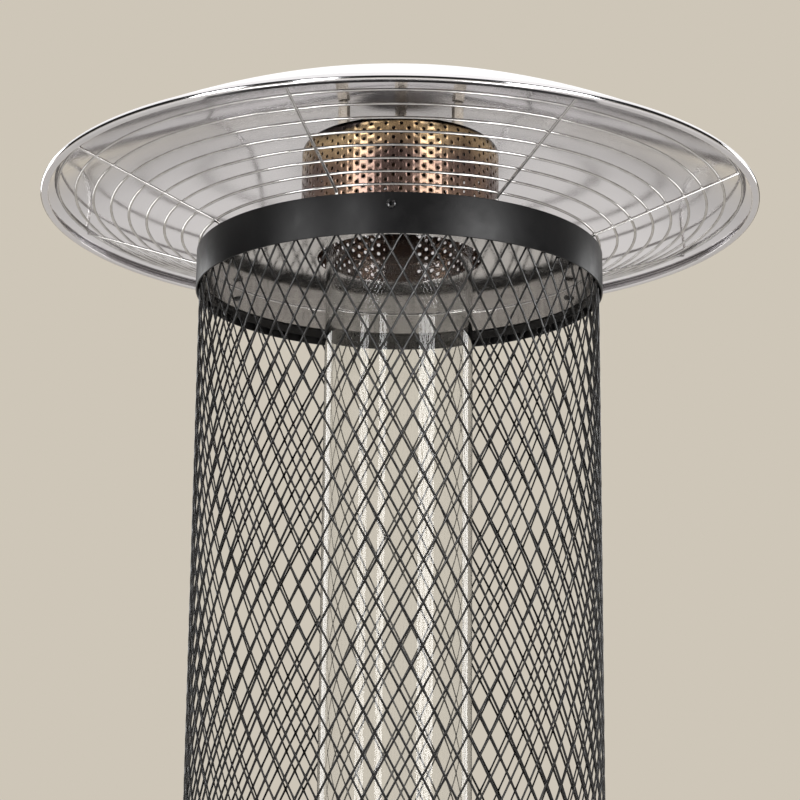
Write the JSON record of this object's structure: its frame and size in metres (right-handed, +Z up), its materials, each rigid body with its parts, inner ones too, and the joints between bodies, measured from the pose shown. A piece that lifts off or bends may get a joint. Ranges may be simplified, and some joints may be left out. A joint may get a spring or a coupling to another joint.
{
  "type": "outdoor gas heater",
  "caption": "Free-standing round gas patio heater: cabinet for a gas bottle, glass flame tube in a mesh cage, perforated emitter and wide mirror reflector.",
  "frame": {"origin": "on the floor, under the heater's axis, at the middle of the reflector's circle", "axes": "+Z up along the heater's axis, -Y towards the front with the knob and the door, +X to the right seen from the front"},
  "size_m": [0.54, 0.54, 1.208],
  "materials": {
    "black_coat": "satin black powder coat with a fine texture",
    "mesh_coat": "semi-gloss black coating",
    "black_screw": "gloss black",
    "foot_rubber": "matt",
    "wheel_rubber": "matt",
    "zinc_steel": "zinc plated",
    "satin_steel": "satin stainless",
    "mirror_steel": "polished stainless with fine brushing",
    "reflector_steel": "mirror-polished stainless",
    "bright_wire": "bright chrome wire",
    "post_steel": "bright, slightly heat-tinted",
    "tinted_steel": "heat-tinted bronze stainless",
    "cast_aluminium": "cast",
    "brass": "turned",
    "black_plastic": "moulded",
    "button_plastic": "gloss red",
    "ceramic": "glazed ceramic",
    "flame_glass": "clear heat-resistant glass"
  },
  "bodies": {
    "cabinet": {"base_pan": "black_coat", "foot_1": "foot_rubber", "foot_2": "foot_rubber", "foot_3": "foot_rubber", "foot_4": "foot_rubber", "bottle_ring": "black_coat", "wheel_bracket_left": "black_coat", "wheel_bracket_right": "black_coat", "wheel_axle_left": "zinc_steel", "wheel_axle_right": "zinc_steel", "cabinet_shell": "black_coat", "hinge_bracket_lower": "black_coat", "hinge_bracket_upper": "black_coat", "hinge_pin_lower": "zinc_steel", "hinge_pin_upper": "zinc_steel", "door_magnet": "black_plastic", "cabinet_lid": "black_coat", "control_panel": "black_coat", "gas_valve": "cast_aluminium", "igniter_body": "black_plastic", "gas_inlet": "brass", "tilt_switch": "black_plastic", "burner_pipe": "cast_aluminium", "gas_jet": "brass", "mixing_tube": "satin_steel", "burner_head": "satin_steel", "pilot_burner": "brass", "thermocouple": "zinc_steel", "spark_electrode": "ceramic", "spark_lead": "black_plastic", "bottom_plate": "mirror_steel", "bottom_band": "black_coat", "cage_mesh": "mesh_coat", "top_plate": "mirror_steel", "top_band": "black_coat", "bottom_screw_1": "black_screw", "bottom_screw_2": "black_screw", "bottom_screw_3": "black_screw", "top_screw_1": "black_screw", "top_screw_2": "black_screw", "top_screw_3": "black_screw", "glass_seat": "satin_steel", "glass_tube": "flame_glass", "emitter": "tinted_steel", "reflector": "reflector_steel", "reflector_post_1": "post_steel", "reflector_post_2": "post_steel", "reflector_post_3": "post_steel", "reflector_nut_1": "post_steel", "reflector_nut_2": "post_steel", "reflector_nut_3": "post_steel", "grille": "bright_wire"},
    "door": {"door": "black_coat", "door_pull": "satin_steel"},
    "wheel_left": {"wheel_left": "wheel_rubber"},
    "wheel_right": {"wheel_right": "wheel_rubber"},
    "plunger": {"stem_collar": "zinc_steel"},
    "knob": {"valve_stem": "zinc_steel", "control_knob": "black_plastic"},
    "igniter_button": {"igniter_button": "button_plastic"}
  },
  "joints": [
    {"name": "door_hinge", "type": "hinge", "parent": "cabinet", "child": "door", "pos_m": [-0.12979, -0.09959, 0.3], "axis": [0, 0, -1], "range_deg": [0, 110]},
    {"name": "wheel_left_roll", "type": "hinge", "parent": "cabinet", "child": "wheel_left", "pos_m": [-0.08, 0.211, 0.032], "axis": [1, 0, 0], "continuous": true},
    {"name": "wheel_right_roll", "type": "hinge", "parent": "cabinet", "child": "wheel_right", "pos_m": [0.08, 0.211, 0.032], "axis": [1, 0, 0], "continuous": true},
    {"name": "knob_push", "type": "slide", "parent": "cabinet", "child": "plunger", "axis": [0, 1, 0], "range_m": [0, 0.004], "stiffness_N_per_m": 800, "springref_m": -0.002},
    {"name": "knob_turn", "type": "hinge", "parent": "plunger", "child": "knob", "pos_m": [-0.024, -0.19, 0.568], "axis": [0, -1, 0], "range_deg": [0, 210]},
    {"name": "igniter_push", "type": "slide", "parent": "cabinet", "child": "igniter_button", "axis": [0, 1, 0], "range_m": [0, 0.004], "stiffness_N_per_m": 600, "springref_m": -0.002}
  ]
}
